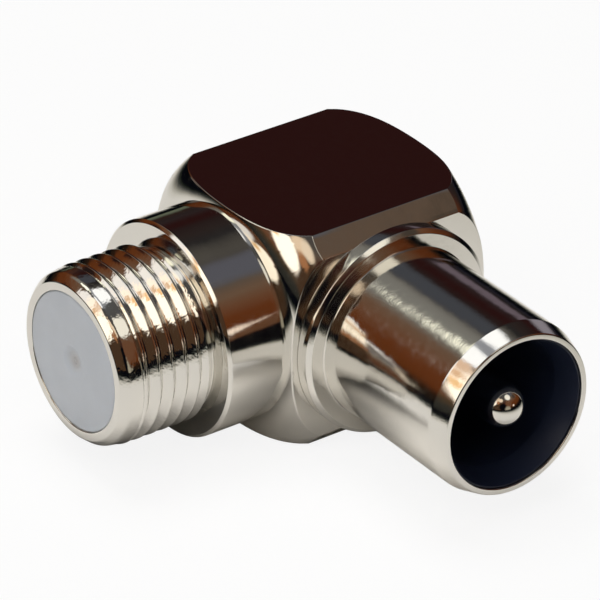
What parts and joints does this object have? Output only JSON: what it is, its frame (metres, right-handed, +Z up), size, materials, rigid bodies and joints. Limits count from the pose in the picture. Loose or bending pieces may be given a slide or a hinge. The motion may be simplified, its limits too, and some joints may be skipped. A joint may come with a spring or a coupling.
{
  "type": "right-angle coaxial adapter",
  "caption": "Right-angle coaxial adapter: a square metal block with a threaded female port on one side and a smooth push-on male plug on the other.",
  "frame": {"origin": "on the body's bottom flat, straight under the point where the plug's and the port's axes cross", "axes": "+X along the push-on plug, out of its open end; -Y along the threaded port, out of its nose; +Z up through the body's flats"},
  "size_m": [0.0229, 0.0216, 0.0123],
  "materials": {
    "body_nickel": "bright nickel plating on brass",
    "barrel_nickel": "bright nickel plating on brass",
    "cap_nickel": "bright nickel plating on brass",
    "pin_nickel": "bright nickel plating on brass",
    "contact_plate": "bright plating on spring brass",
    "white_plastic": "smooth white polyethylene",
    "bead_plastic": "smooth white polyethylene",
    "black_plastic": "black moulded plastic"
  },
  "bodies": {
    "root": {"body": "body_nickel", "plug_barrel": "barrel_nickel", "plug_insulator": "black_plastic", "plug_pin": "pin_nickel", "port_face_insulator": "white_plastic", "port_rear_insulator": "bead_plastic", "port_spring_contact": "contact_plate", "rear_cap": "cap_nickel"}
  },
  "joints": []
}
